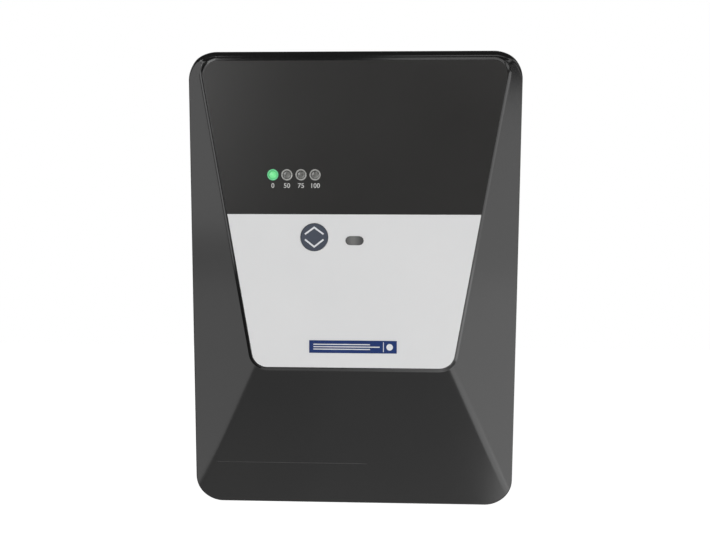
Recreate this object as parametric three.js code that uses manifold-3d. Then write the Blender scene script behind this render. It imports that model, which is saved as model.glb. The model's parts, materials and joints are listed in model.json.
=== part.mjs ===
// Control unit of a salt chlorine generator for a swimming pool: a sealed, wall-hung power box.
// It turns mains power into the low-voltage, polarity-reversing current of an electrolysis cell.
//
// Millimetres. +X is to the right as the user sees the box, +Z is up, and the front faces -Y.
// The wall is the plane Y = 0, and the origin is the middle of the wall bracket's back face,
// at the middle of the box's height and width.
//
// The box is two moulded shells with a seal between them. A floor wall stands above the shells'
// open lower end, and the glands, the switch and the fuse hang from it inside that skirt.

import * as THREE from "three";
import { mergeVertices } from "three/addons/utils/BufferGeometryUtils.js";
import Module from "manifold-3d";

// ---------------------------------------------------------------- driving dimensions

const CASE = { width: 234.2, height: 327.8, corner: 20, wall: 3 };
const FRONT = -115; // the face of the panel
const BACK = -2.5; // the back of the rear shell
const SEAM = { cover: -50.5, housing: -49.5 };
const SEAL = { inset: 0.6, width: 2, floorInset: 0.4 };
const FLOOR = { top: -129, bottom: -132 }; // the floor wall above the open skirt
const LABEL = 0.6; // thickness of the display window and the keypad panel

// The plateau that carries the panel: a trapezoid, wide at the top.
const PLATEAU = { topHalf: 107.5, topZ: 155.6, bottomHalf: 69.9, bottomZ: -58.6, topR: 10, bottomR: 11 };
const DIVISION_Z = 49.4; // where the dark window meets the light panel
const SHOULDER = { width: 3, drop: 1.4 }; // the step round the plateau
const SLOPE = { side: 0.27, bottom: 0.177, top: 0.35 }; // fall of each facet per millimetre
const RIDGE_BLEND = 1.3; // softness of the ridge between two facets
const EDGE = { top: 5, side: 1.2 }; // rounding of the cover's outer edge
const HEEL = 2; // rounding of the rear shell's back edge
const SKIRT_WALL_Y = -90.5; // the inner face of the skirt's front wall
const PANEL_GAP = { edge: 0.2, division: 0.1 };

const LED = { xs: [-56.5, -46.65, -36.8, -26.95], z: 76.7, lens: 2.8, ring: 3.9, hole: 3.1, proud: 0.5 };
const COLLAR = { wide: 1.2, thick: 1, gap: 0.3 }; // what keeps a lens or window behind the cover
const BUTTON = { x: -27.4, z: 33.3, r: 9.5, hole: 9.85, proud: 0.6, flange: 11.3, stem: 1.7, tip: -102.6 };
const STATUS = { x: 0.8, z: 31, length: 12.3, height: 5.7, gap: 0.3, proud: 0.2 };
const BADGE = { width: 61.6, height: 8.9, z: -43.6, thick: 0.3 };

const BOARD = { x0: -76, x1: 26, z0: 14, z1: 98, front: -100, thick: 1.6 };
const BOARD_POSTS = [[-70, 20], [20, 20], [-70, 92], [20, 92]];
const LAMP = { r: 2.4, rim: 2.9, height: 6.6 };
const TACT = { half: 3, height: 3.5, well: 2.1, floor: 1 };
const CHIP = { x: -53, z: 51, half: 7, height: 1.4 };
const STAKE = { post: 3.5, pin: 1.5, hole: 1.8, headR: 2.6, head: 1.2, gap: 0.1 };
const POWER = { x0: -72, x1: 98, z0: 42, z1: 134, back: -15.4, thick: 1.6 }; // its rear face
const POWER_POSTS = [[-66, 48], [92, 48], [-66, 128], [92, 128]];
const RIBBON = { x0: -14, x1: 2, low: 60, high: 64, half: 0.5, plug: 7, plugHalf: 3, slack: 32 };
const HEAT_SINK = { x: 40, base: 4, reach: 26, z0: 74, z1: 126, front: -58, fins: 4, pitch: 10, fin: 2 };
const RECTIFIER = { x0: 32, x1: 39.7, front: -48, lead: 4, z0: 88, z1: 112 };
const CAPACITOR = { x: -46, z: 112, r: 12.5, height: 38 };
const RELAY = { xs: [-24, 4], width: 22, height: 19, z0: 104, z1: 124 };
const TERMINALS = { x: 40, poles: 6, pitch: 7.6, height: 13, z0: 46, z1: 58, well: 2, deep: 5 };
const TRANSFORMER = { x: -36, z: -52, r: 50, hole: 16, back: -7.6, height: 40, round: 9 };
const DISH = { r: 30, flat: 20, thick: 2, rim: 1.2, hole: 4.3 }; // the washer that clamps the transformer
const CLAMP_BOLT = { r: 2.7, sleeve: 4, hole: 3, head: 5.5, flats: 13 };

const COVER_SCREWS = [[-102, 147], [102, 147], [-104, -118], [104, -118]];
const SCREW = { r: 1.9, hole: 2.2, headR: 3.8, head: 3, seat: -34, tip: -62, boss: 6, coverBoss: 4.8 };
const RECESS = { long: 2.2, short: 0.5, deep: 1.4 }; // the cross in a screw's head
const PAD = { x: 80, z: -140, r: 8 }; // keeps the lower end off the wall

const ENTRY_Y = -29; // the line of the glands, the switch and the fuse
const GLANDS = [
  { name: "mains", x: -84, thread: 8, bore: 4.2, flats: 19 },
  { name: "sensor", x: -54, thread: 6, bore: 3.3, flats: 15 },
  { name: "cell", x: 76, thread: 10, bore: 6, flats: 24 },
];
const GLAND = {
  inside: 7, hexDrop: 5, clawEnd: -146, sealEnd: -152.2,
  nutTop: -138, mouth: -156, locknut: 4.5, clear: 0.6,
};
const SWITCH = {
  x: -12, length: 31, depth: 24, bezel: 2, top: -112, pivotZ: -130, tilt: 10,
  box: [27, 20], well: [25.8, 16.8], wellTop: -125, key: [23.6, 16],
};
const FUSE = {
  x: 30, barrel: 6.2, bore: 3.8, flange: 8.5, rim: 2, top: -100, crown: 2.5,
  r: 2.6, length: 20,
};
const FUSE_CAP = { r: 6.6, height: 7.6, bevel: 0.9, plug: 5, gap: 0.4, slot: 0.7, slotDeep: 1.4 };

const BRACKET = { half: 70, z0: -45, z1: 75, thick: 1.6, corner: 8, holeR: 2.5 };
const BRACKET_HOLES = [[-22, 62], [22, 62], [-56, -30], [56, -30]];
const HOOK = { x: 50, z: 40, half: 10, arm: 3, reach: -7.6, tongue: 1.8, rise: 8 };
const POCKET = { half: 12, below: 18, above: 12, deep: -9.6, wall: 2.5, play: 0.3 };

const SIDES = { round: 32, fine: 28, medium: 20, small: 16, tiny: 10 };
const CUT = 5; // how far a cutter runs past the face that it opens

// ---------------------------------------------------------------- solids

const wasm = await Module();
wasm.setup();

// A three.js geometry as a manifold-3d solid, with its faces turned outwards.
function solid(geometry) {
  const loose = geometry.index ? geometry.toNonIndexed() : geometry;
  const bare = new THREE.BufferGeometry();
  bare.setAttribute("position", loose.getAttribute("position"));
  const merged = mergeVertices(bare, 1e-4);
  const vertProperties = merged.attributes.position.array;
  const triVerts = new Uint32Array(merged.index.array);
  const made = new wasm.Manifold(new wasm.Mesh({ numProp: 3, vertProperties, triVerts }));
  if (made.volume() > 0) return made;
  for (let i = 0; i < triVerts.length; i += 3) {
    [triVerts[i + 1], triVerts[i + 2]] = [triVerts[i + 2], triVerts[i + 1]];
  }
  return new wasm.Manifold(new wasm.Mesh({ numProp: 3, vertProperties, triVerts }));
}

function geometryOf(made) {
  const mesh = made.getMesh();
  const points = new Float32Array(mesh.numVert * 3);
  for (let i = 0; i < mesh.numVert; i++) {
    points.set(mesh.vertProperties.subarray(i * mesh.numProp, i * mesh.numProp + 3), i * 3);
  }
  const geometry = new THREE.BufferGeometry();
  geometry.setAttribute("position", new THREE.BufferAttribute(points, 3));
  geometry.setIndex(new THREE.BufferAttribute(mesh.triVerts, 1));
  geometry.computeVertexNormals();
  return geometry;
}

const union = (...parts) => parts.flat().reduce((sum, part) => sum.add(part));
const cut = (body, ...tools) => tools.flat().reduce((rest, tool) => rest.subtract(tool), body);

function block(x0, x1, y0, y1, z0, z1) {
  const box = new THREE.BoxGeometry(x1 - x0, y1 - y0, z1 - z0);
  return solid(box.translate((x0 + x1) / 2, (y0 + y1) / 2, (z0 + z1) / 2));
}

// A round bar along Y, and one along Z.
function rodY(x, z, r, y0, y1, sides = SIDES.small) {
  return solid(new THREE.CylinderGeometry(r, r, y1 - y0, sides).translate(x, (y0 + y1) / 2, z));
}

function rodZ(x, y, r, z0, z1, sides = SIDES.small) {
  const bar = new THREE.CylinderGeometry(r, r, z1 - z0, sides).rotateX(Math.PI / 2);
  return solid(bar.translate(x, y, (z0 + z1) / 2));
}

// A hexagonal bar along Z, and one along Y, of a size across its flats.
const hexZ = (x, y, flats, z0, z1) => rodZ(x, y, flats / Math.sqrt(3), z0, z1, 6);
const hexY = (x, z, flats, y0, y1) => rodY(x, z, flats / Math.sqrt(3), y0, y1, 6);

// Turned pieces: a profile of [radius, position along the axis] that starts and ends on the axis,
// or closes on itself.
function turnedY(x, z, profile, sides = SIDES.medium) {
  const points = profile.map(([r, y]) => new THREE.Vector2(r, y));
  return solid(new THREE.LatheGeometry(points, sides).translate(x, 0, z));
}

function turnedZ(x, y, profile, sides = SIDES.medium) {
  const points = profile.map(([r, z]) => new THREE.Vector2(r, z));
  return solid(new THREE.LatheGeometry(points, sides).rotateX(Math.PI / 2).translate(x, y, 0));
}

// A ring along an axis: a closed rectangular profile.
const ringProfile = (inner, outer, a, b) => [[inner, a], [outer, a], [outer, b], [inner, b], [inner, a]];

// A flat outline of [x, z] points, extruded along Y, and one of [y, z] points along X.
function plateY(points, y0, y1) {
  const shape = new THREE.Shape(points.map(([x, z]) => new THREE.Vector2(x, z)));
  const plate = new THREE.ExtrudeGeometry(shape, { depth: y1 - y0, bevelEnabled: false });
  return solid(plate.rotateX(Math.PI / 2).translate(0, y1, 0));
}

function plateX(points, x0, x1) {
  const shape = new THREE.Shape(points.map(([y, z]) => new THREE.Vector2(y, z)));
  const plate = new THREE.ExtrudeGeometry(shape, { depth: x1 - x0, bevelEnabled: false });
  const turn = new THREE.Matrix4().set(0, 0, 1, x0, 1, 0, 0, 0, 0, 1, 0, 0, 0, 0, 0, 1);
  return solid(plate.applyMatrix4(turn));
}

// A solid through a stack of loops with the same number of points, closed flat at both ends.
function loft(loops) {
  const count = loops[0].length;
  const corners = [];
  const push = (...points) => points.forEach((point) => corners.push(...point));
  for (let k = 0; k + 1 < loops.length; k++) {
    for (let i = 0; i < count; i++) {
      const j = (i + 1) % count;
      const [a, b, c, d] = [loops[k][i], loops[k][j], loops[k + 1][j], loops[k + 1][i]];
      push(a, b, c);
      push(a, c, d);
    }
  }
  const cap = (loop, reversed) => {
    const flat = loop.map(([x, , z]) => new THREE.Vector2(x, z));
    for (const [a, b, c] of THREE.ShapeUtils.triangulateShape(flat, [])) {
      if (reversed) push(loop[a], loop[c], loop[b]);
      else push(loop[a], loop[b], loop[c]);
    }
  };
  cap(loops[0], true);
  cap(loops.at(-1), false);
  const geometry = new THREE.BufferGeometry();
  geometry.setAttribute("position", new THREE.Float32BufferAttribute(corners, 3));
  return solid(geometry);
}

// ---------------------------------------------------------------- outlines

const CORNER_STEPS = 7;
const EDGE_STEPS = 4;

// The rounded corners of the case, anticlockwise from the lower right: centre, radius and arc.
function caseCorners() {
  const x = CASE.width / 2 - CASE.corner;
  const z = CASE.height / 2 - CASE.corner;
  const quarter = Math.PI / 2;
  return [[x, -z], [x, z], [-x, z], [-x, -z]].map(([cx, cz], i) => ({
    cx, cz, r: CASE.corner, from: (i - 1) * quarter, to: i * quarter,
  }));
}

// The plateau's four edges, anticlockwise from the bottom: outward normal and its distance.
function plateauEdges() {
  const { topHalf, topZ, bottomHalf, bottomZ } = PLATEAU;
  const lean = Math.atan2(topHalf - bottomHalf, topZ - bottomZ);
  const reach = bottomHalf * Math.cos(lean) - bottomZ * Math.sin(lean);
  return [
    { angle: -Math.PI / 2, reach: -bottomZ, slope: SLOPE.bottom },
    { angle: -lean, reach, slope: SLOPE.side },
    { angle: Math.PI / 2, reach: topZ, slope: SLOPE.top },
    { angle: Math.PI + lean, reach, slope: SLOPE.side },
  ];
}

function plateauCorners() {
  const edges = plateauEdges();
  const radii = [PLATEAU.bottomR, PLATEAU.topR, PLATEAU.topR, PLATEAU.bottomR];
  return radii.map((r, i) => {
    const a = edges[i];
    const b = edges[(i + 1) % 4];
    const [ax, az, bx, bz] = [Math.cos(a.angle), Math.sin(a.angle), Math.cos(b.angle), Math.sin(b.angle)];
    const det = ax * bz - az * bx;
    const cx = ((a.reach - r) * bz - (b.reach - r) * az) / det;
    const cz = ((b.reach - r) * ax - (a.reach - r) * bx) / det;
    const turn = b.angle < a.angle ? 2 * Math.PI : 0;
    return { cx, cz, r, from: a.angle, to: b.angle + turn };
  });
}

// The points of an outline moved outwards by a distance, each with its outward direction.
function outline(corners, outwards) {
  const arcs = corners.map(({ cx, cz, r, from, to }) => {
    const arc = [];
    for (let k = 0; k <= CORNER_STEPS; k++) {
      const angle = from + ((to - from) * k) / CORNER_STEPS;
      const [nx, nz] = [Math.cos(angle), Math.sin(angle)];
      arc.push({ x: cx + nx * (r + outwards), z: cz + nz * (r + outwards), nx, nz });
    }
    return arc;
  });
  return arcs.flatMap((arc, i) => {
    const last = arc.at(-1);
    const next = arcs[(i + 1) % arcs.length][0];
    const between = [];
    for (let k = 1; k < EDGE_STEPS; k++) {
      const t = k / EDGE_STEPS;
      between.push({ ...last, x: last.x + (next.x - last.x) * t, z: last.z + (next.z - last.z) * t });
    }
    return [...arc, ...between];
  });
}

function smoothMax(a, b, softness) {
  const near = Math.max(softness - Math.abs(a - b), 0) / softness;
  return Math.max(a, b) + (near * near * softness) / 4;
}

// How far the facets have fallen behind the plateau's shoulder at a point of the front.
function facetDrop(x, z) {
  const falls = plateauEdges().map(({ angle, reach, slope }) => {
    return slope * (x * Math.cos(angle) + z * Math.sin(angle) - reach);
  });
  return falls.reduce((sum, fall) => smoothMax(sum, fall, RIDGE_BLEND), -RIDGE_BLEND);
}

// The front surface beyond the shoulder.
function facetY(x, z) {
  return FRONT + LABEL + SHOULDER.drop + Math.max(facetDrop(x, z), 0);
}

// The rounding of the outer edge is wide along the top and narrow down the sides.
function edgeRadius({ nz }) {
  const upwards = Math.min(Math.max(nz, 0), 1);
  return EDGE.side + (EDGE.top - EDGE.side) * upwards;
}

// ---------------------------------------------------------------- shells

function coverOuter() {
  const rim = outline(caseCorners(), 0);
  const inner = rim.map((p) => ({ ...p, x: p.x - p.nx * edgeRadius(p), z: p.z - p.nz * edgeRadius(p) }));
  const foot = outline(plateauCorners(), SHOULDER.width);
  const loops = [rim.map(({ x, z }) => [x, SEAM.cover, z])];
  for (const turn of [90, 67.5, 45, 22.5, 0]) {
    const angle = THREE.MathUtils.degToRad(turn);
    loops.push(rim.map((p, i) => {
      const r = edgeRadius(p);
      const inwards = r * (1 - Math.sin(angle));
      const y = facetY(inner[i].x, inner[i].z) + r * (1 - Math.cos(angle));
      return [p.x - p.nx * inwards, y, p.z - p.nz * inwards];
    }));
  }
  for (const t of [0.25, 0.5, 0.75, 1]) {
    loops.push(inner.map((p, i) => {
      const x = p.x + (foot[i].x - p.x) * t;
      const z = p.z + (foot[i].z - p.z) * t;
      return [x, facetY(x, z), z];
    }));
  }
  for (const outwards of [0.75, 0.5, 0.25, 0]) {
    const share = THREE.MathUtils.smoothstep(outwards, 0, 1);
    const step = outline(plateauCorners(), SHOULDER.width * outwards);
    loops.push(step.map(({ x, z }) => {
      const y = FRONT + LABEL + (SHOULDER.drop + Math.max(facetDrop(x, z), 0)) * share;
      return [x, y, z];
    }));
  }
  return loft(loops);
}

// The room inside the cover, one wall thickness behind its outer surface.
function coverRoom() {
  const side = outline(caseCorners(), -CASE.wall);
  const foot = outline(plateauCorners(), CASE.wall - 1);
  const face = outline(plateauCorners(), 1 - CASE.wall);
  return loft([
    side.map(({ x, z }) => [x, SEAM.cover + CUT, z]),
    side.map(({ x, z }) => [x, facetY(x, z) + CASE.wall, z]),
    foot.map(({ x, z }) => [x, facetY(x, z) + CASE.wall, z]),
    face.map(({ x, z }) => [x, FRONT + LABEL + CASE.wall, z]),
  ]);
}

const halfWidth = CASE.width / 2;
const halfHeight = CASE.height / 2;
const floorSlab = (y0, y1) => block(-halfWidth, halfWidth, y0, y1, FLOOR.bottom, FLOOR.top);
const skirtMouth = (y0, y1) => {
  const half = halfWidth - CASE.corner;
  return block(-half, half, y0, y1, -halfHeight - CUT, FLOOR.bottom);
};

function statusOutline(grow) {
  const r = STATUS.height / 2 + grow;
  const reach = (STATUS.length - STATUS.height) / 2;
  const points = [];
  for (const end of [1, -1]) {
    for (let k = 0; k <= 6; k++) {
      const angle = (Math.PI * k) / 6 - (Math.PI / 2) * end;
      points.push([STATUS.x + end * reach + r * Math.cos(angle), STATUS.z + r * Math.sin(angle)]);
    }
  }
  return points;
}

function panelHoles(y0, y1) {
  return [
    ...LED.xs.map((x) => rodY(x, LED.z, LED.hole, y0, y1)),
    rodY(BUTTON.x, BUTTON.z, BUTTON.hole, y0, y1, SIDES.fine),
    plateY(statusOutline(STATUS.gap), y0, y1),
  ];
}

function frontCover() {
  const outer = coverOuter();
  const room = cut(coverRoom(), floorSlab(FRONT - CUT, 0));
  const holes = panelHoles(FRONT - CUT, FRONT + 2 * CASE.wall);
  const shell = cut(outer, room, skirtMouth(SKIRT_WALL_Y, 0), holes);
  const screwBosses = COVER_SCREWS.map(([x, z]) => rodY(x, z, SCREW.coverBoss, FRONT, SEAM.cover));
  const boardPosts = BOARD_POSTS.flatMap((at) => stakedPost(at, FRONT + 2, BOARD.front, BOARD.thick));
  const bosses = union(screwBosses, boardPosts).intersect(outer);
  const pilots = COVER_SCREWS.map(([x, z]) => rodY(x, z, SCREW.hole, SCREW.tip - 1, 0, SIDES.tiny));
  return cut(shell.add(bosses), pilots);
}

// A moulded post along Y from a wall to a board, with a pin through the board and a melted head.
function stakedPost([x, z], wall, board, thick) {
  const ahead = Math.sign(board - wall);
  const span = (r, from, to) => rodY(x, z, r, Math.min(from, to), Math.max(from, to), SIDES.tiny);
  const head = board + ahead * (thick + STAKE.gap);
  return [
    span(STAKE.post, wall, board - ahead * STAKE.gap),
    span(STAKE.pin, wall, head + (ahead * STAKE.head) / 2),
    span(STAKE.headR, head, head + ahead * STAKE.head),
  ];
}

function hookPockets() {
  const blocks = [];
  const rooms = [];
  for (const side of [-1, 1]) {
    const x = side * HOOK.x;
    const [x0, x1] = [x - POCKET.half, x + POCKET.half];
    const [z0, z1] = [HOOK.z - POCKET.below, HOOK.z + POCKET.above];
    const { wall, deep } = POCKET;
    blocks.push(block(x0 - wall, x1 + wall, deep - wall, BACK - 1, z0 - wall, z1 + wall));
    rooms.push(block(x0, x1, deep, BACK - CASE.wall, z0, z1));
    rooms.push(block(x0, x1, BACK - CASE.wall - 1, BACK + CUT, z0, HOOK.z + POCKET.play));
  }
  return { blocks, rooms };
}

function rearHousing() {
  const rim = outline(caseCorners(), 0);
  const heel = [0, 22.5, 45, 67.5, 90].map((turn) => {
    const angle = THREE.MathUtils.degToRad(turn);
    const loop = outline(caseCorners(), -HEEL * (1 - Math.cos(angle)));
    return loop.map(({ x, z }) => [x, BACK - HEEL * (1 - Math.sin(angle)), z]);
  });
  const outer = loft([rim.map(({ x, z }) => [x, SEAM.housing, z]), ...heel]);
  const inside = outline(caseCorners(), -CASE.wall);
  const room = loft([
    inside.map(({ x, z }) => [x, SEAM.housing - CUT, z]),
    inside.map(({ x, z }) => [x, BACK - CASE.wall, z]),
  ]);
  const dryRoom = cut(room, floorSlab(SEAM.housing - CUT, 0));
  const shell = cut(outer, dryRoom, skirtMouth(SEAM.housing - CUT, BACK - CASE.wall));
  const { blocks, rooms } = hookPockets();
  const bosses = COVER_SCREWS.map(([x, z]) => rodY(x, z, SCREW.boss, SEAM.housing, BACK - 1));
  const posts = POWER_POSTS.flatMap((at) => stakedPost(at, BACK - 1, POWER.back, POWER.thick));
  const pads = [-1, 1].map((side) => rodY(side * PAD.x, PAD.z, PAD.r, BACK - 1, 0));
  const seats = COVER_SCREWS.flatMap(([x, z]) => [
    rodY(x, z, SCREW.headR + 0.4, SCREW.seat, CUT),
    rodY(x, z, SCREW.hole, SEAM.housing - CUT, CUT, SIDES.tiny),
  ]);
  const insert = [BACK - CASE.wall - 1, BACK - 1]; // a blind hole in the back wall
  const boltHole = rodY(TRANSFORMER.x, TRANSFORMER.z, CLAMP_BOLT.hole, ...insert, SIDES.tiny);
  return cut(union(shell, blocks, bosses, posts, pads), rooms, seats, entryHoles(), boltHole);
}

// The seal runs round both shells' rims, with a strip along the floor wall.
function coverGasket() {
  const { inset, width, floorInset } = SEAL;
  const band = (inwards) => {
    const loop = outline(caseCorners(), -inwards);
    return loft([SEAM.cover, SEAM.housing].map((y) => loop.map(({ x, z }) => [x, y, z])));
  };
  const [z0, z1] = [FLOOR.bottom + floorInset, FLOOR.top - floorInset];
  const strip = block(-halfWidth, halfWidth, SEAM.cover, SEAM.housing, z0, z1);
  return cut(band(inset), cut(band(inset + width), strip), skirtMouth(SEAM.cover - 1, SEAM.housing + 1));
}

// ---------------------------------------------------------------- panel, lamps and button

// The part of the plateau's outline above or below the division.
function panelPiece(keepAbove) {
  const loop = outline(plateauCorners(), -PANEL_GAP.edge);
  const plate = loft([FRONT, FRONT + LABEL].map((y) => loop.map(({ x, z }) => [x, y, z])));
  const z0 = keepAbove ? DIVISION_Z + PANEL_GAP.division : -halfHeight;
  const z1 = keepAbove ? halfHeight : DIVISION_Z - PANEL_GAP.division;
  const kept = plate.intersect(block(-halfWidth, halfWidth, FRONT - 1, FRONT + 1, z0, z1));
  return cut(kept, panelHoles(FRONT - CUT, FRONT + CUT));
}

const badge = () => {
  const [across, up] = [BADGE.width / 2, BADGE.height / 2];
  return block(-across, across, FRONT - BADGE.thick, FRONT, BADGE.z - up, BADGE.z + up);
};

function ledBezel(x) {
  return turnedY(x, LED.z, ringProfile(LED.lens + 0.15, LED.ring, FRONT - LED.proud, FRONT), SIDES.small);
}

const COVER_INSIDE = FRONT + LABEL + CASE.wall; // the inner face of the cover behind the panel

// A light guide: a domed end in front, a stem through the cover, and a collar behind its wall.
function ledLens(x) {
  const r = LED.lens;
  const [shelf, back] = [COVER_INSIDE + COLLAR.gap, BOARD.front - LAMP.height - 0.6];
  return turnedY(x, LED.z, [
    [0, FRONT - 1.1], [r * 0.6, FRONT - 0.85], [r, FRONT - 0.2], [r, shelf],
    [r + COLLAR.wide, shelf], [r + COLLAR.wide, shelf + COLLAR.thick], [r, shelf + COLLAR.thick],
    [r, back], [0, back],
  ], SIDES.small);
}

// The window is a moulded block with a flange behind the cover's wall.
function statusWindow() {
  const shelf = COVER_INSIDE + COLLAR.gap;
  return union(
    plateY(statusOutline(0), FRONT - STATUS.proud, shelf + 2 * COLLAR.thick),
    plateY(statusOutline(COLLAR.wide), shelf, shelf + COLLAR.thick),
  );
}

// A cap with a flange behind the cover's wall, and a stem that reaches into the tact switch.
function levelButton() {
  const { x, z, r, proud, flange, stem, tip } = BUTTON;
  const shelf = COVER_INSIDE + COLLAR.gap;
  const [edge, web] = [0.5, shelf + COLLAR.wide];
  return turnedY(x, z, [
    [0, FRONT - proud], [r - edge, FRONT - proud], [r, FRONT - proud + edge], [r, shelf],
    [flange, shelf], [flange, web], [2 * stem, web], [stem, web + stem], [stem, tip], [0, tip],
  ], SIDES.fine);
}

// ---------------------------------------------------------------- control board

function controlBoard() {
  const { x0, x1, z0, z1, front, thick } = BOARD;
  const [y0, y1] = [front - 1, front + thick + 1];
  const holes = BOARD_POSTS.map(([x, z]) => rodY(x, z, STAKE.hole, y0, y1, SIDES.tiny));
  return cut(block(x0, x1, front, front + thick, z0, z1), holes);
}

function lamp(x, z) {
  const { r, rim, height } = LAMP;
  const base = BOARD.front;
  return turnedY(x, z, [
    [0, base - height], [r * 0.67, base - height + 0.5], [r, base - height + 2],
    [r, base - 1], [rim, base - 1], [rim, base], [0, base],
  ], SIDES.tiny);
}

function tactSwitch() {
  const { x, z } = BUTTON;
  const { half, height, well, floor } = TACT;
  const body = block(x - half, x + half, BOARD.front - height, BOARD.front, z - half, z + half);
  return cut(body, rodY(x, z, well, BOARD.front - CUT, BOARD.front - floor, SIDES.tiny));
}

function controllerChip() {
  const { x, z, half, height } = CHIP;
  return block(x - half, x + half, BOARD.front - height, BOARD.front, z - half, z + half);
}

// A flat cable that loops between the two boards, with a plug crimped on each end.
function ribbonCable() {
  const { x0, x1, low, high, half, plug, plugHalf, slack } = RIBBON;
  const [rear, front] = [POWER.back - POWER.thick, BOARD.front + BOARD.thick];
  const curve = new THREE.CubicBezierCurve(
    new THREE.Vector2(rear - plug / 2, low),
    new THREE.Vector2(rear - slack, low),
    new THREE.Vector2(front + slack, high + slack),
    new THREE.Vector2(front + plug / 2, high),
  );
  const upper = [];
  const lower = [];
  for (let k = 0; k <= 12; k++) {
    const point = curve.getPoint(k / 12);
    const along = curve.getTangent(k / 12);
    upper.push([point.x - along.y * half, point.y + along.x * half]);
    lower.unshift([point.x + along.y * half, point.y - along.x * half]);
  }
  const plugs = [[rear - plug, rear, low], [front, front + plug, high]];
  const bodies = plugs.map(([y0, y1, z]) => {
    return block(x0 - plugHalf / 2, x1 + plugHalf / 2, y0, y1, z - plugHalf, z + plugHalf);
  });
  return union(plateX([...upper, ...lower], x0, x1), bodies);
}

// ---------------------------------------------------------------- power supply

const onPower = POWER.back - POWER.thick; // the face that carries the power parts

function powerBoard() {
  const { x0, x1, z0, z1, back, thick } = POWER;
  const [y0, y1] = [back - thick - 1, back + 1];
  const holes = POWER_POSTS.map(([x, z]) => rodY(x, z, STAKE.hole, y0, y1, SIDES.tiny));
  return cut(block(x0, x1, back - thick, back, z0, z1), holes);
}

// An aluminium comb: a base that stands on the board, with fins to the right.
function heatSink() {
  const { x, base, reach, z0, z1, front, fins, pitch, fin } = HEAT_SINK;
  const comb = [block(x, x + base, front, onPower, z0, z1)];
  for (let k = 0; k < fins; k++) {
    const y = onPower - pitch * (k + 0.6);
    comb.push(block(x + base - 1, x + reach, y - fin, y, z0, z1));
  }
  return union(comb);
}

function bridgeRectifier() {
  const { x0, x1, front, lead, z0, z1 } = RECTIFIER;
  return block(x0, x1, front, onPower - lead, z0, z1);
}

function capacitor() {
  const { x, z, r, height } = CAPACITOR;
  return rodY(x, z, r, onPower - height, onPower, SIDES.medium);
}

function relay(x) {
  const { width, height, z0, z1 } = RELAY;
  return block(x, x + width, onPower - height, onPower, z0, z1);
}

function terminalBlock() {
  const { x, poles, pitch, height, z0, z1, well, deep } = TERMINALS;
  const front = onPower - height;
  const wells = [];
  for (let k = 0; k < poles; k++) {
    wells.push(rodY(x + pitch * (k + 0.5), (z0 + z1) / 2, well, front - CUT, front + deep, SIDES.tiny));
  }
  return cut(block(x, x + poles * pitch, front, onPower, z0, z1), wells);
}

// The wound ring: a rounded oblong section turned about the bolt.
function transformer() {
  const { x, z, r, hole, back, height, round } = TRANSFORMER;
  const steps = 12;
  const profile = [];
  for (let k = 0; k < steps; k++) {
    const angle = ((k + 0.5) / steps) * 2 * Math.PI;
    const [c, s] = [Math.cos(angle), Math.sin(angle)];
    const outwards = Math.sign(c) * ((r - hole) / 2 - round) + round * c;
    const along = Math.sign(s) * (height / 2 - round) + round * s;
    profile.push([(r + hole) / 2 + outwards, back - height / 2 + along]);
  }
  return turnedY(x, z, [...profile, profile[0]], SIDES.round);
}

function transformerPad() {
  const { x, z, r, hole, back } = TRANSFORMER;
  const profile = ringProfile(hole - 6, r - 4, back + 0.1, BACK - CASE.wall - 0.1);
  return turnedY(x, z, profile, SIDES.fine);
}

function transformerWasher() {
  const { x, z, back, height } = TRANSFORMER;
  const { r, flat, thick, rim, hole } = DISH;
  const y = back - height - 0.2;
  const profile = [
    [hole, y - thick], [flat, y - thick], [r, y - rim], [r, y], [hole, y], [hole, y - thick],
  ];
  return turnedY(x, z, profile, SIDES.fine);
}

function transformerBolt() {
  const { x, z, back, height } = TRANSFORMER;
  const { r, sleeve, head, flats } = CLAMP_BOLT;
  const seat = back - height - DISH.thick - 0.3;
  return union(
    rodY(x, z, r, seat - 1, BACK - 1.5, SIDES.tiny),
    rodY(x, z, sleeve, seat - 1, back, SIDES.tiny),
    hexY(x, z, flats, seat - head, seat),
  );
}

// ---------------------------------------------------------------- entries in the floor

// A block on the switch's axis, of a length and a depth.
function switchBlock([length, depth], z0, z1) {
  const { x } = SWITCH;
  return block(x - length / 2, x + length / 2, ENTRY_Y - depth / 2, ENTRY_Y + depth / 2, z0, z1);
}

function entryHoles() {
  const [z0, z1] = [FLOOR.bottom - 1, FLOOR.top + 1];
  const gap = 0.3;
  return [
    ...GLANDS.map((g) => rodZ(g.x, ENTRY_Y, g.thread + gap, z0, z1, SIDES.medium)),
    switchBlock(SWITCH.box.map((side) => side + 2 * gap), z0, z1),
    rodZ(FUSE.x, ENTRY_Y, FUSE.barrel + gap, z0, z1, SIDES.medium),
  ];
}

const UNDER = FLOOR.bottom - 0.1; // where a collar or bezel sits under the floor wall

// A threaded tube with a hexagon under the floor wall and a ring of claws below it.
function glandBody({ x, thread, bore, flats }) {
  const { inside, hexDrop, clawEnd, mouth, clear } = GLAND;
  const [top, collar] = [FLOOR.top + inside, UNDER - hexDrop];
  const barrel = turnedZ(x, ENTRY_Y, [
    [0, top], [thread, top], [thread, collar], [thread - 0.6, collar], [thread - 1, clawEnd], [0, clawEnd],
  ]);
  const passage = rodZ(x, ENTRY_Y, bore + clear, mouth, top + CUT, SIDES.medium);
  return cut(barrel.add(hexZ(x, ENTRY_Y, flats, collar, UNDER)), passage);
}

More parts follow.
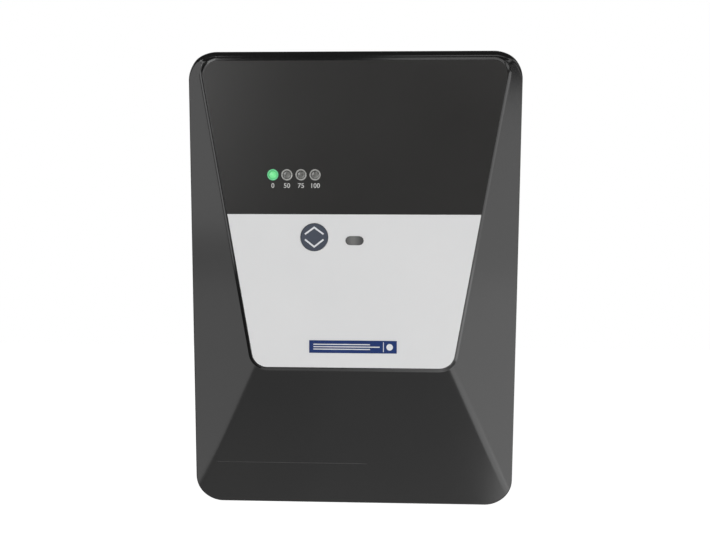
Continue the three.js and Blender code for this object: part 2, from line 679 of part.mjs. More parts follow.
// A hexagonal cap with a domed end.
function glandNut({ x, thread, bore, flats }) {
  const { nutTop, mouth } = GLAND;
  const [outer, inner] = [flats / 2 + 0.2, thread - 0.3];
  const shell = turnedZ(x, ENTRY_Y, [
    [inner, nutTop], [outer, nutTop], [outer, mouth + 5], [outer - 1.2, mouth + 1.5], [outer - 3, mouth],
    [bore, mouth], [bore, mouth + 2], [inner, mouth + 3.5], [inner, nutTop],
  ]);
  return shell.intersect(hexZ(x, ENTRY_Y, flats, mouth - 1, nutTop + 1));
}

function glandSeal({ x, thread, bore }) {
  return turnedZ(x, ENTRY_Y, ringProfile(bore, thread - 1, GLAND.sealEnd, GLAND.clawEnd - 0.2));
}

function glandLocknut({ x, thread, flats }) {
  const base = FLOOR.top + 0.1;
  const nut = hexZ(x, ENTRY_Y, flats + 2, base, base + GLAND.locknut);
  return cut(nut, rodZ(x, ENTRY_Y, thread + 0.3, base - 1, base + CUT, SIDES.medium));
}

function switchBody() {
  const { length, depth, bezel, top, box, well, wellTop } = SWITCH;
  const frame = switchBlock([length, depth], UNDER - bezel, UNDER);
  return cut(frame.add(switchBlock(box, UNDER - 1, top)), switchBlock(well, UNDER - CUT, wellTop));
}

// The rocker is a dished key that tips about Y. It is stored in one of its two positions.
function switchRocker() {
  const { x, pivotZ, tilt, key } = SWITCH;
  const [end, middle] = [key[0] / 2, key[0] / 4];
  const section = [[-end, 1], [-end, -5], [-middle, -4.2], [0, -3.8], [middle, -4.2], [end, -5], [end, 1]];
  const turn = THREE.MathUtils.degToRad(tilt);
  const points = section.map(([u, w]) => [
    x + u * Math.cos(turn) + w * Math.sin(turn),
    pivotZ - u * Math.sin(turn) + w * Math.cos(turn),
  ]);
  return plateY(points, ENTRY_Y - key[1] / 2, ENTRY_Y + key[1] / 2);
}

function fuseHolder() {
  const { x, barrel, bore, flange, rim, top, crown } = FUSE;
  return turnedZ(x, ENTRY_Y, [
    [0, top], [barrel, top], [barrel, UNDER], [flange, UNDER], [flange, UNDER - rim],
    [bore, UNDER - rim], [bore, top - crown], [0, top - crown],
  ]);
}

// A knob with a plug in the holder's bore and a slot for a screwdriver.
function fuseCap() {
  const { r, height, bevel, plug, gap, slot, slotDeep } = FUSE_CAP;
  const [x, seat, inner] = [FUSE.x, UNDER - FUSE.rim - 0.3, FUSE.bore - gap];
  const foot = seat - height;
  const knob = turnedZ(x, ENTRY_Y, [
    [0, seat + plug], [inner, seat + plug], [inner, seat], [r, seat], [r, foot + bevel],
    [r - bevel, foot], [0, foot],
  ]);
  return cut(knob, block(x - r - 1, x + r + 1, ENTRY_Y - slot, ENTRY_Y + slot, foot - 1, foot + slotDeep));
}

function fuse() {
  const base = UNDER - FUSE.rim - 0.3 + FUSE_CAP.plug + 0.6;
  return rodZ(FUSE.x, ENTRY_Y, FUSE.r, base, base + FUSE.length);
}

// ---------------------------------------------------------------- fixings

function coverScrew([x, z]) {
  const { r, headR, head, seat, tip } = SCREW;
  const body = union(rodY(x, z, r, tip, seat), rodY(x, z, headR, seat, seat + head));
  const { long, short, deep } = RECESS;
  const top = seat + head;
  const cross = [[long, short], [short, long]].map(([a, b]) => {
    return block(x - a, x + a, top - deep, top + 1, z - b, z + b);
  });
  return cut(body, cross);
}

// A pressed steel plate with two upward hooks, screwed to the wall through four holes.
function wallBracket() {
  const { half, z0, z1, thick, corner, holeR } = BRACKET;
  const plate = plateY([
    [-half + corner, z0], [half - corner, z0], [half, z0 + corner], [half, z1 - corner],
    [half - corner, z1], [-half + corner, z1], [-half, z1 - corner], [-half, z0 + corner],
  ], -thick, 0);
  const hooks = [-1, 1].flatMap((side) => {
    const [x0, x1] = [side * HOOK.x - HOOK.half, side * HOOK.x + HOOK.half];
    const foot = HOOK.z - HOOK.arm;
    return [
      block(x0, x1, HOOK.reach, -thick / 2, foot, HOOK.z),
      block(x0, x1, HOOK.reach, HOOK.reach + HOOK.tongue, foot, HOOK.z + HOOK.rise),
    ];
  });
  const holes = BRACKET_HOLES.map(([x, z]) => rodY(x, z, holeR, -thick - 1, 1));
  return cut(union(plate, hooks), holes);
}

// ---------------------------------------------------------------- assembly

const FINISH = {
  cover: [0x1c1c1b, 0.32, 0],
  housing: [0x1d1d1d, 0.45, 0],
  seal: [0x0c0c0c, 0.9, 0],
  window: [0x20201f, 0.18, 0],
  panel: [0xd2d3d4, 0.38, 0],
  badge: [0x0d2a66, 0.35, 0],
  bezel: [0xa2a29e, 0.35, 0],
  lens: [0x55564f, 0.15, 0],
  litLens: [0x5fe089, 0.2, 0],
  button: [0x363c47, 0.4, 0],
  board: [0x1c5a34, 0.5, 0],
  chip: [0x101010, 0.5, 0],
  sleeve: [0x101018, 0.35, 0],
  relay: [0x2a4f86, 0.45, 0],
  terminal: [0x2f7a3d, 0.5, 0],
  ribbon: [0x8f9296, 0.7, 0],
  steel: [0xb5b7ba, 0.35, 1],
  aluminium: [0xa6a8aa, 0.4, 1],
  winding: [0x8c4a22, 0.45, 0],
  nylon: [0x17181a, 0.5, 0],
  rubber: [0x101010, 0.85, 0],
  glass: [0xcfd8d8, 0.1, 0],
};

const unit = new THREE.Group();

function add(name, finish, made) {
  const [color, roughness, metalness] = FINISH[finish];
  const material = new THREE.MeshStandardMaterial({ color, roughness, metalness, flatShading: true });
  const mesh = new THREE.Mesh(geometryOf(made), material);
  mesh.name = name;
  unit.add(mesh);
}

add("wall_bracket", "steel", wallBracket());
add("rear_housing", "housing", rearHousing());
add("front_cover", "cover", frontCover());
add("cover_gasket", "seal", coverGasket());
COVER_SCREWS.forEach((at, i) => add(`cover_screw_${i + 1}`, "steel", coverScrew(at)));

add("display_window", "window", panelPiece(true));
add("keypad_panel", "panel", panelPiece(false));
add("name_badge", "badge", badge());
LED.xs.forEach((x, i) => {
  add(`led_bezel_${i + 1}`, "bezel", ledBezel(x));
  add(`led_lens_${i + 1}`, i ? "lens" : "litLens", ledLens(x));
  add(`led_${i + 1}`, "glass", lamp(x, LED.z));
});
add("status_window", "lens", statusWindow());
add("status_led", "glass", lamp(STATUS.x, STATUS.z));
add("level_button", "button", levelButton());

add("control_board", "board", controlBoard());
add("tact_switch", "chip", tactSwitch());
add("controller_chip", "chip", controllerChip());
add("ribbon_cable", "ribbon", ribbonCable());

add("power_board", "board", powerBoard());
add("heat_sink", "aluminium", heatSink());
add("bridge_rectifier", "chip", bridgeRectifier());
add("smoothing_capacitor", "sleeve", capacitor());
RELAY.xs.forEach((x, i) => add(`polarity_relay_${i + 1}`, "relay", relay(x)));
add("terminal_block", "terminal", terminalBlock());
add("transformer", "winding", transformer());
add("transformer_pad", "rubber", transformerPad());
add("transformer_washer", "steel", transformerWasher());
add("transformer_bolt", "steel", transformerBolt());

for (const gland of GLANDS) {
  add(`${gland.name}_gland_body`, "nylon", glandBody(gland));
  add(`${gland.name}_gland_nut`, "nylon", glandNut(gland));
  add(`${gland.name}_gland_seal`, "rubber", glandSeal(gland));
  add(`${gland.name}_gland_locknut`, "nylon", glandLocknut(gland));
}
add("switch_body", "nylon", switchBody());
add("switch_rocker", "nylon", switchRocker());
add("fuse_holder", "nylon", fuseHolder());
add("fuse_cap", "nylon", fuseCap());
add("fuse", "glass", fuse());

export default unit;
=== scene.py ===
"""Looks for the wall-hung control unit of a pool's salt chlorine generator.

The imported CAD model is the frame. The cover is lofted again here with finer steps, and the button, the
lamps' lenses and their rings are turned again. Every other piece that shows outside is the CAD solid with
its edges rounded. Lengths are in millimetres until a mesh is finished. The axes are the frame's: +X right,
+Y into the wall and +Z up.
"""
import bmesh
import bpy
import json
import math
from mathutils import Euler, Matrix, Vector


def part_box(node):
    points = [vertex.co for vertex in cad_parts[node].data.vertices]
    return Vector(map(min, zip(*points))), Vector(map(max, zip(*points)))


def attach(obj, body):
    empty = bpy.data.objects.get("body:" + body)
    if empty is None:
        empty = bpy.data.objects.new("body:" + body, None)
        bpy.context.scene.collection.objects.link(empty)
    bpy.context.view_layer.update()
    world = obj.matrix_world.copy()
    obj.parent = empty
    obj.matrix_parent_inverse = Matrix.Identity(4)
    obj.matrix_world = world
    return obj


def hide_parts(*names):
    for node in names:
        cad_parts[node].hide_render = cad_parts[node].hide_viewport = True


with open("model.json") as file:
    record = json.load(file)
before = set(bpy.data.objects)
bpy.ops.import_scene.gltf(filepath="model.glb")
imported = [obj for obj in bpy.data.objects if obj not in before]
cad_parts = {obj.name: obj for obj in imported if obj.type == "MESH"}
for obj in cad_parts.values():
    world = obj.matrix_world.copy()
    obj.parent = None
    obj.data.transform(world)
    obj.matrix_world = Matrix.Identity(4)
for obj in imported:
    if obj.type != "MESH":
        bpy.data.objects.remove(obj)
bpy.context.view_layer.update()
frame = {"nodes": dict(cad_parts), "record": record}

MM = 0.001
UNIT = "control_unit"

# ------------------------------------------------------------------ dimensions, as in the CAD model


def box_mm(node):
    low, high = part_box(node)
    return low / MM, high / MM


def middle_xz(low, high):
    return (low.x + high.x) / 2, (low.z + high.z) / 2


COVER_LOW, COVER_HIGH = box_mm("front_cover")
WINDOW_LOW, WINDOW_HIGH = box_mm("display_window")
PANEL_LOW = box_mm("keypad_panel")[0]
BUTTON_LOW, BUTTON_HIGH = box_mm("level_button")
STATUS_LOW, STATUS_HIGH = box_mm("status_window")
FRONT = WINDOW_LOW.y
SEAT = WINDOW_HIGH.y  # the face of the plateau, behind the panel

CORNER = 20  # the case's corner radius, seen from in front
WALL = 3
PANEL_INSET = 0.2  # from the plateau's edge to the panel's
# Half widths, heights and corner radii of the plateau, seen from in front.
PLATEAU = {
    "top_half": 107.5, "top": WINDOW_HIGH.z + PANEL_INSET, "top_r": 10,
    "bottom_half": 69.9, "bottom": PANEL_LOW.z - PANEL_INSET, "bottom_r": 11,
}
SHOULDER, SHOULDER_DROP = 3, 1.4  # width and depth of the shoulder round the plateau
# Along the top, the shoulder starts with a nearly flat strip: its share of the width, and of the drop.
TOP_STRIP, TOP_STRIP_FALL = 0.7, 0.15
SLOPES = {"bottom": 0.177, "side": 0.27, "top": 0.35}
RIDGE_BLEND = 1.3  # how softly two facets meet, as a difference in depth
# How far down the shoulder each of its outlines lies, from its foot up to the plateau.
SHOULDER_SHARES = (0.96, 0.9, 0.82, 0.72, 0.6, 0.45, 0.3, 0.15, 0.06, 0)
TOP_EDGE, SIDE_EDGE = 5, 1.2  # radii of the cover's outer edge
FLOOR_TOP, FLOOR_BOTTOM = -129, -132  # the dry room's floor, above the open lower end
SKIRT_WALL_Y = -90.5
LED_HOLE, BUTTON_HOLE = 3.1, 9.85
COLLAR = 1.2  # how far the collar of a lens or window stands out round it, behind the panel
LENS_GAP = 0.15
BUTTON_GAP = 0.35
FLANGE_GAP = 0.3
STATUS_GAP = 0.3
PRINT = 0.03  # how proud printed marks stand
FAR = 400  # beyond the case in every direction
SCALE = {1: "0", 2: "50", 3: "75", 4: "100"}  # the number under each lamp
LAMP_NUMBERS = tuple(SCALE)
LIT_LAMP = 1

# ------------------------------------------------------------------ meshes

SAME_POINT, SAME_CAD_POINT = 1e-5, 1e-4  # points nearer than this are merged
FLAT = 0.5  # degrees between faces that count as one
SMOOTH = 32  # degrees between faces that shade as one; a sharper edge is rounded or stays crisp
COVER_SMOOTH = 40


def new_piece(name, verts, faces):
    mesh = bpy.data.meshes.new(name)
    mesh.from_pydata([Vector(v) for v in verts], [], faces)
    piece = bpy.data.objects.new(name, mesh)
    bpy.context.scene.collection.objects.link(piece)
    work = bmesh.new()
    work.from_mesh(mesh)
    bmesh.ops.remove_doubles(work, verts=work.verts, dist=SAME_POINT)
    bmesh.ops.recalc_face_normals(work, faces=work.faces)
    work.to_mesh(mesh)
    work.free()
    return piece


def loft(name, loops):
    """A closed solid through loops that have the same number of points."""
    count = len(loops[0])
    verts = [point for loop in loops for point in loop]
    faces = [tuple(range(count)), tuple(range(len(verts) - count, len(verts)))]
    for k in range(len(loops) - 1):
        for i in range(count):
            j = (i + 1) % count
            a, b = k * count, (k + 1) * count
            faces.append((a + i, a + j, b + j, b + i))
    return new_piece(name, verts, faces)


def prism_y(name, points, y0, y1):
    """A prism along Y from an outline of (x, z) points."""
    return loft(name, [[(x, y, z) for x, z in points] for y in (y0, y1)])


def block(name, x0, x1, y0, y1, z0, z1):
    return prism_y(name, [(x0, z0), (x1, z0), (x1, z1), (x0, z1)], y0, y1)


def circle(x, z, r, steps=48):
    angles = [2 * math.pi * k / steps for k in range(steps)]
    return [(x + r * math.cos(a), z + r * math.sin(a)) for a in angles]


def stadium(x, z, reach, r, steps=12):
    """Two half circles of radius r, each centred a reach away from the middle, joined by straight lines."""
    points = []
    for end in (1, -1):
        for k in range(steps + 1):
            angle = math.pi * k / steps - end * math.pi / 2
            points.append((x + end * reach + r * math.cos(angle), z + r * math.sin(angle)))
    return points


def turned_y(name, x, z, profile, steps=48):
    """A turned piece. Its profile of (radius, y) pairs runs from axis to axis, or closes on itself."""
    verts, faces = [], []
    for k in range(steps):
        c, s = math.cos(2 * math.pi * k / steps), math.sin(2 * math.pi * k / steps)
        verts += [(x + r * c, y, z + r * s) for r, y in profile]
    n = len(profile)
    for k in range(steps):
        a, b = k * n, (k + 1) % steps * n
        faces += [(a + i, a + i + 1, b + i + 1, b + i) for i in range(n - 1)]
    return new_piece(name, verts, faces)


def arc(cx, cy, r, start, end, steps=5):
    """Points on an arc of a profile; angles in degrees."""
    angles = [math.radians(start + (end - start) * k / steps) for k in range(steps + 1)]
    return [(cx + r * math.cos(a), cy + r * math.sin(a)) for a in angles]


def apply_modifiers(piece):
    graph = bpy.context.evaluated_depsgraph_get()
    mesh = bpy.data.meshes.new_from_object(piece.evaluated_get(graph))
    piece.modifiers.clear()
    piece.data = mesh


def cut(piece, *tools):
    """Takes the tools' shapes out of a piece and deletes the tools."""
    for tool in tools:
        step = piece.modifiers.new("cut", "BOOLEAN")
        step.object = tool
        step.solver = "MANIFOLD"
    apply_modifiers(piece)
    for tool in tools:
        bpy.data.objects.remove(tool)
    return piece


def finish_edges(piece, bevel=0, angle=SMOOTH, dissolve=False):
    """Rounds the sharp edges by a few tenths of a millimetre and shades the rest smooth."""
    if dissolve:
        work = bmesh.new()
        work.from_mesh(piece.data)
        bmesh.ops.remove_doubles(work, verts=work.verts, dist=SAME_CAD_POINT)
        bmesh.ops.dissolve_limit(work, angle_limit=math.radians(FLAT), verts=work.verts, edges=work.edges)
        work.to_mesh(piece.data)
        work.free()
    if bevel:
        step = piece.modifiers.new("edges", "BEVEL")
        step.width = bevel
        step.segments = 2
        step.limit_method = "ANGLE"
        step.angle_limit = math.radians(angle)
        step.use_clamp_overlap = True
        piece.modifiers.new("triangles", "TRIANGULATE").ngon_method = "BEAUTY"
        apply_modifiers(piece)
    piece.data.shade_smooth()
    piece.data.set_sharp_from_angle(angle=math.radians(angle))
    step = piece.modifiers.new("normals", "WEIGHTED_NORMAL")
    step.keep_sharp = True
    apply_modifiers(piece)
    return piece


def place(piece, material, body=UNIT, replaces=()):
    """Scales a finished piece to metres, dresses it and hangs it on its body."""
    piece.data.transform(Matrix.Scale(MM, 4))
    piece.data.materials.clear()
    piece.data.materials.append(material)
    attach(piece, body)
    if replaces:
        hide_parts(*replaces)
    return piece


def refine(node, material, body=UNIT, bevel=0.25):
    """The CAD solid of a node, with rounded edges and smooth shading."""
    source = frame["nodes"][node]
    piece = bpy.data.objects.new(node + "_fine", source.data.copy())
    bpy.context.scene.collection.objects.link(piece)
    piece.data.transform(Matrix.Scale(1 / MM, 4))
    finish_edges(piece, bevel, dissolve=True)
    return place(piece, material, body, (node,))


# ------------------------------------------------------------------ the cover's outlines


def case_corners():
    """Each corner of the case: centre, radius, and where its arc starts and ends."""
    x, z = COVER_HIGH.x - CORNER, COVER_HIGH.z - CORNER
    quarter = math.pi / 2
    centres = [(x, -z), (x, z), (-x, z), (-x, -z)]
    return [(cx, cz, CORNER, (i - 1) * quarter, i * quarter) for i, (cx, cz) in enumerate(centres)]


def plateau_edges():
    """Each edge of the plateau, anticlockwise from the bottom: normal's angle, distance and fall."""
    p = PLATEAU
    lean = math.atan2(p["top_half"] - p["bottom_half"], p["top"] - p["bottom"])
    reach = p["bottom_half"] * math.cos(lean) - p["bottom"] * math.sin(lean)
    return [
        (-math.pi / 2, -p["bottom"], SLOPES["bottom"]),
        (-lean, reach, SLOPES["side"]),
        (math.pi / 2, p["top"], SLOPES["top"]),
        (math.pi + lean, reach, SLOPES["side"]),
    ]


def plateau_corners():
    """Each corner of the plateau, in the form that case_corners gives."""
    edges = plateau_edges()
    corners = []
    for i, r in enumerate((PLATEAU["bottom_r"], PLATEAU["top_r"], PLATEAU["top_r"], PLATEAU["bottom_r"])):
        (a, reach_a, _), (b, reach_b, _) = edges[i], edges[(i + 1) % 4]
        ax, az, bx, bz = math.cos(a), math.sin(a), math.cos(b), math.sin(b)
        det = ax * bz - az * bx
        cx = ((reach_a - r) * bz - (reach_b - r) * az) / det
        cz = ((reach_b - r) * ax - (reach_a - r) * bx) / det
        corners.append((cx, cz, r, a, b + (2 * math.pi if b < a else 0)))
    return corners


def outline(corners, outwards, turn_steps=40, side_steps=48):
    """Points (x, z, nx, nz) of an outline that is moved outwards."""
    arcs = []
    for cx, cz, r, start, end in corners:
        angles = [start + (end - start) * k / turn_steps for k in range(turn_steps + 1)]
        arcs.append([
            (cx + math.cos(a) * (r + outwards), cz + math.sin(a) * (r + outwards), math.cos(a), math.sin(a))
            for a in angles
        ])
    points = []
    for i, one in enumerate(arcs):
        x0, z0, nx, nz = one[-1]
        x1, z1 = arcs[(i + 1) % 4][0][:2]
        points += one
        for k in range(1, side_steps):
            t = k / side_steps
            points.append((x0 + (x1 - x0) * t, z0 + (z1 - z0) * t, nx, nz))
    return points


def smooth_max(a, b, softness):
    """The larger value, raised a little where the two are nearly equal."""
    near = max(softness - abs(a - b), 0) / softness
    return max(a, b) + near * near * softness / 4


def facet_drop(x, z):
    """How far the facets have fallen at a place: the deepest of the four, blended at the ridges."""
    drop = -RIDGE_BLEND
    for angle, reach, slope in plateau_edges():
        fall = slope * (x * math.cos(angle) + z * math.sin(angle) - reach)
        drop = smooth_max(drop, fall, RIDGE_BLEND)
    return max(drop, 0)


def facet_y(x, z):
    """The depth of the cover's face outside the shoulder."""
    return SEAT + SHOULDER_DROP + facet_drop(x, z)


# ------------------------------------------------------------------ front cover


def shoulder_fall(share, nz):
    """The shoulder's fall: an even curve, but along the top a strip that drops only at its far side."""
    even = share * share * (3 - 2 * share)
    beyond = max((share - TOP_STRIP) / (1 - TOP_STRIP), 0)
    late = TOP_STRIP_FALL * min(share / TOP_STRIP, 1) + (1 - TOP_STRIP_FALL) * beyond ** 2
    return even + (late - even) * max(nz, 0)


def cover_outer():
    """The cover without its room: side, rounded edge, facets, shoulder and plateau."""
    turn_step, facet_steps = 15, 64
    rim = outline(case_corners(), 0)
    radii = [SIDE_EDGE + (TOP_EDGE - SIDE_EDGE) * max(nz, 0) for _, _, _, nz in rim]
    inner = [(x - nx * r, z - nz * r) for (x, z, nx, nz), r in zip(rim, radii)]
    foot = outline(plateau_corners(), SHOULDER)
    loops = [[(x, COVER_HIGH.y, z) for x, z, _, _ in rim]]
    for degrees in range(90, -1, -turn_step):
        s, c = math.sin(math.radians(degrees)), math.cos(math.radians(degrees))
        loops.append([
            (x - nx * r * (1 - s), facet_y(*at) + r * (1 - c), z - nz * r * (1 - s))
            for (x, z, nx, nz), r, at in zip(rim, radii, inner)
        ])
    for k in range(1, facet_steps + 1):
        t = k / facet_steps
        spots = [(a[0] + (b[0] - a[0]) * t, a[1] + (b[1] - a[1]) * t) for a, b in zip(inner, foot)]
        loops.append([(x, facet_y(x, z), z) for x, z in spots])
    for share in SHOULDER_SHARES:
        step = outline(plateau_corners(), SHOULDER * share)
        loops.append([
            (x, SEAT + (SHOULDER_DROP + facet_drop(x, z)) * shoulder_fall(share, nz), z)
            for x, z, _, nz in step
        ])
    return loft("front_cover_fine", loops)


def cover_room():
    """The space inside the cover, which slopes for 2 mm on either side of the plateau's outline."""
    spread = 2
    side = outline(case_corners(), -WALL)
    foot = outline(plateau_corners(), spread)
    face = outline(plateau_corners(), -spread)
    return loft("room", [
        [(x, COVER_HIGH.y + WALL, z) for x, z, _, _ in side],
        [(x, facet_y(x, z) + WALL, z) for x, z, _, _ in side],
        [(x, facet_y(x, z) + WALL, z) for x, z, _, _ in foot],
        [(x, SEAT + WALL, z) for x, z, _, _ in face],
    ])


def status_outline(grow):
    """The oval window's outline, grown by a margin."""
    x, z = middle_xz(STATUS_LOW, STATUS_HIGH)
    r = (STATUS_HIGH.z - STATUS_LOW.z) / 2 - COLLAR
    reach = (STATUS_HIGH.x - STATUS_LOW.x) / 2 - COLLAR - r
    return stadium(x, z, reach, r + grow)


def mould_line():
    """A faint raised line on the left of the lower facet, where the mould's two inserts meet; its lighter
    colour is a painted highlight.
    """
    z, half, proud, sunk = -132, 0.3, 0.06, 0.5
    loops = []
    for x in (-100, -60, -20, 0, 10):
        y = facet_y(x, z)
        slope = SLOPES["bottom"] * half
        ridge = [(x, y - slope, z + half), (x, y - proud, z), (x, y + slope, z - half)]
        loops.append(ridge + [(x, y + sunk, z)])
    # Painted highlight: the line is a lighter grey than the cover, so that it shows as a bright line.
    highlight_paint = moulded("mould_line_painted_highlight", (0.02, 0.02, 0.02), 0.5)
    place(loft("mould_line", loops), highlight_paint)


def front_cover(material):
    """The cover: its outer form less the dry room, the open lower end and the holes in the plateau."""
    floor = block("floor", -FAR, FAR, -FAR, FAR, FLOOR_BOTTOM, FLOOR_TOP)
    room = cut(cover_room(), floor)
    half = COVER_HIGH.x - CORNER
    mouth = block("mouth", -half, half, SKIRT_WALL_Y, FAR, -FAR, FLOOR_BOTTOM)
    y0, y1 = FRONT - WALL, SEAT + 2 * WALL
    holes = []
    for index in LAMP_NUMBERS:
        holes.append(prism_y("hole", circle(*middle_xz(*box_mm(f"led_bezel_{index}")), LED_HOLE), y0, y1))
    holes.append(prism_y("hole", circle(*middle_xz(BUTTON_LOW, BUTTON_HIGH), BUTTON_HOLE), y0, y1))
    holes.append(prism_y("hole", status_outline(STATUS_GAP), y0, y1))
    cover = cut(cover_outer(), room, mouth, *holes)
    finish_edges(cover, angle=COVER_SMOOTH)
    return place(cover, material, UNIT, ("front_cover",))


# ------------------------------------------------------------------ small pieces of the panel


def led_bezel(index, material):
    """A ring with rounded edges, a little clear of its lens."""
    low, high = box_mm(f"led_bezel_{index}")
    lens_low, lens_high = box_mm(f"led_lens_{index}")
    x, z = middle_xz(low, high)
    r = (high.x - low.x) / 2
    inner = (lens_high.x - lens_low.x) / 2 - COLLAR + LENS_GAP
    edge = 0.25
    profile = [(inner, high.y), (inner, low.y + edge)]
    profile += arc(inner + edge, low.y + edge, edge, 180, 270)
    profile += arc(r - edge, low.y + edge, edge, 270, 360)
    profile += [(r, high.y), (inner, high.y)]
    ring = finish_edges(turned_y(f"led_ring_{index}", x, z, profile))
    return place(ring, material, UNIT, (f"led_bezel_{index}",))


def led_lens(index, material):
    """A light guide: a low dome in front, a collar behind the panel and a short tail to the lamp."""
    low, high = box_mm(f"led_lens_{index}")
    x, z = middle_xz(low, high)
    collar_r = (high.x - low.x) / 2
    r = collar_r - COLLAR
    proud, rise, steps = 0.15, 0.95, 8
    front, back = high.y - 2.2, high.y - 1.2  # of the collar
    angles = [math.pi / 2 * k / steps for k in range(steps + 1)]
    profile = [(r * math.sin(a), FRONT - proud - rise * math.cos(a)) for a in angles]
    profile += [(r, front), (collar_r, front), (collar_r, back), (r, back), (r, high.y), (0, high.y)]
    lens = finish_edges(turned_y(f"led_dome_{index}", x, z, profile))
    return place(lens, material, UNIT, (f"led_lens_{index}",))


def level_button(material):
    """A dished face, a flange behind the cover and a stem that reaches for the tact switch."""
    x, z = middle_xz(BUTTON_LOW, BUTTON_HIGH)
    flange_r = (BUTTON_HIGH.x - BUTTON_LOW.x) / 2
    r, edge, stem_r = BUTTON_HOLE - BUTTON_GAP, 0.45, 1.7
    face, dish, dish_r = BUTTON_LOW.y, 0.12, 0.55 * r
    shelf = SEAT + WALL + FLANGE_GAP
    back = shelf + 1.2
    profile = [(0, face + dish), (dish_r, face + dish * 2 / 3)]
    profile += arc(r - edge, face + edge, edge, 270, 360)
    profile += [(r, shelf), (flange_r, shelf), (flange_r, back), (stem_r, back)]
    profile += [(stem_r, BUTTON_HIGH.y), (0, BUTTON_HIGH.y)]
    button = finish_edges(turned_y("level_button_fine", x, z, profile, 96))
    return place(button, material, "level_button", ("level_button",))


def ribbon(points, width):
    """The outline of a line of even width through a few points, with square ends."""
    spots = [Vector(point) for point in points]
    ways = [(b - a).normalized() for a, b in zip(spots, spots[1:])]
    left, right = [], []
    for i, spot in enumerate(spots):
        arriving, leaving = ways[max(i - 1, 0)], ways[min(i, len(ways) - 1)]
        along = (arriving + leaving).normalized()
        across = Vector((-along.y, along.x)) * (width / 2 / along.dot(leaving))
        left.append(tuple(spot + across))
        right.insert(0, tuple(spot - across))
    return left + right


def chevrons(material):
    """Up and down arrow heads, printed thickly on the button."""
    x, z = middle_xz(BUTTON_LOW, BUTTON_HIGH)
    half, line = 6.5, 1.15
    y0, y1 = BUTTON_LOW.y - 0.02, BUTTON_LOW.y + 0.2
    for name, apex, ends in (("chevron_up", 6.8, 2.1), ("chevron_down", -6.7, -1.6)):
        points = [(x - half, z + ends), (x, z + apex), (x + half, z + ends)]
        mark = prism_y(name, ribbon(points, line), y0, y1)
        place(finish_edges(mark), material, "level_button")


def printed_numbers(material):
    """The output scale under the lamps: 0, 50, 75 and 100."""
    size, boldness, spacing, below = 4.55, 0.06, 1.02, 5.1
    for index, words in SCALE.items():
        low, high = box_mm(f"led_bezel_{index}")
        curve = bpy.data.curves.new(f"scale_{words}", "FONT")
        curve.body = words
        curve.align_x = "CENTER"
        curve.size = size
        curve.offset = boldness
        curve.space_character = spacing
        text = bpy.data.objects.new(f"scale_{words}", curve)
        bpy.context.scene.collection.objects.link(text)
        text.rotation_euler = Euler((math.pi / 2, 0, 0))
        text.location = ((low.x + high.x) / 2, FRONT - PRINT, low.z - below)
        bpy.context.view_layer.update()
        mesh = bpy.data.meshes.new_from_object(text.evaluated_get(bpy.context.evaluated_depsgraph_get()))
        mesh.transform(text.matrix_world)
        bpy.data.objects.remove(text)
        mark = bpy.data.objects.new(f"scale_mark_{words}", mesh)
        bpy.context.scene.collection.objects.link(mark)
        place(mark, material)


def badge_stripes(material):
    """A plain pattern on the badge: three bars, an upright line and a dot."""
    low, high = box_mm("name_badge")
    y0, y1 = low.y - PRINT, low.y + 0.05
    middle = (low.z + high.z) / 2
    pitch, half, shorter = 1.7, 0.35, 6.8
    left, right, line_x, line_width, margin = low.x + 3, high.x - 12, high.x - 9.6, 0.5, 1
    bars = []
    for row in (-1, 0, 1):
        z = middle + row * pitch
        bars.append((left, right - shorter * abs(row), z - half, z + half))
    bars.append((line_x, line_x + line_width, low.z + margin, high.z - margin))
    for k, (x0, x1, z0, z1) in enumerate(bars):
        place(block(f"badge_bar_{k}", x0, x1, y0, y1, z0, z1), material)
    dot_x, dot_r = high.x - 5, 2.3
    dot = prism_y("badge_dot", circle(dot_x, middle, dot_r), y0, y1)
    place(dot, material)


# ------------------------------------------------------------------ materials


class Nodes:
    """A short way to write a material's node tree."""

    def __init__(self, name):
        self.material = bpy.data.materials.new(name)
        self.material.use_nodes = True
        self.tree = self.material.node_tree
        self.shader = self.tree.nodes["Principled BSDF"]
        self.place = self.add("ShaderNodeTexCoord").outputs["Object"]

    def add(self, kind, **values):
        node = self.tree.nodes.new(kind)
        for key, value in values.items():
            setattr(node, key, value)
        return node

    def link(self, out, socket):
        self.tree.links.new(out, socket)

    def noise(self, scale, detail=3, rough=0.5, stretch=(1, 1, 1)):
        mapping = self.add("ShaderNodeMapping")
        mapping.inputs["Scale"].default_value = stretch
        noise = self.add("ShaderNodeTexNoise")
        noise.inputs["Scale"].default_value = scale
        noise.inputs["Detail"].default_value = detail
        noise.inputs["Roughness"].default_value = rough
        self.link(self.place, mapping.inputs["Vector"])
        self.link(mapping.outputs["Vector"], noise.inputs["Vector"])
        return noise.outputs["Fac"]

    def range(self, value, low, high, from_low=0.3, from_high=0.7):
        """Spreads a noise's middle values, or other given limits, from low to high."""
        node = self.add("ShaderNodeMapRange")
        limits = {"From Min": from_low, "From Max": from_high, "To Min": low, "To Max": high}
        for key, number in limits.items():
            node.inputs[key].default_value = number
        self.link(value, node.inputs["Value"])
        return node.outputs["Result"]

    def mix(self, factor, a, b):
        factor_in, a_in, b_in, colour_out = 0, 6, 7, 2  # the mix node's colour sockets
        node = self.add("ShaderNodeMix", data_type="RGBA")
        node.inputs[a_in].default_value = (*a, 1)
        node.inputs[b_in].default_value = (*b, 1)
        self.link(factor, node.inputs[factor_in])
        return node.outputs[colour_out]

    def bump(self, height, depth):
        """Relief with a depth in millimetres."""
        node = self.add("ShaderNodeBump")
        node.inputs["Strength"].default_value = 1
        node.inputs["Distance"].default_value = depth * MM
        self.link(height, node.inputs["Height"])
        return node.outputs["Normal"]

    def set(self, **values):
        """Links an output to the shader's socket, or sets a plain value on the socket itself."""
        for key, value in values.items():
            socket = self.shader.inputs[key.replace("_", " ")]
            if hasattr(value, "is_linked"):
                self.link(value, socket)
            else:
                socket.default_value = value


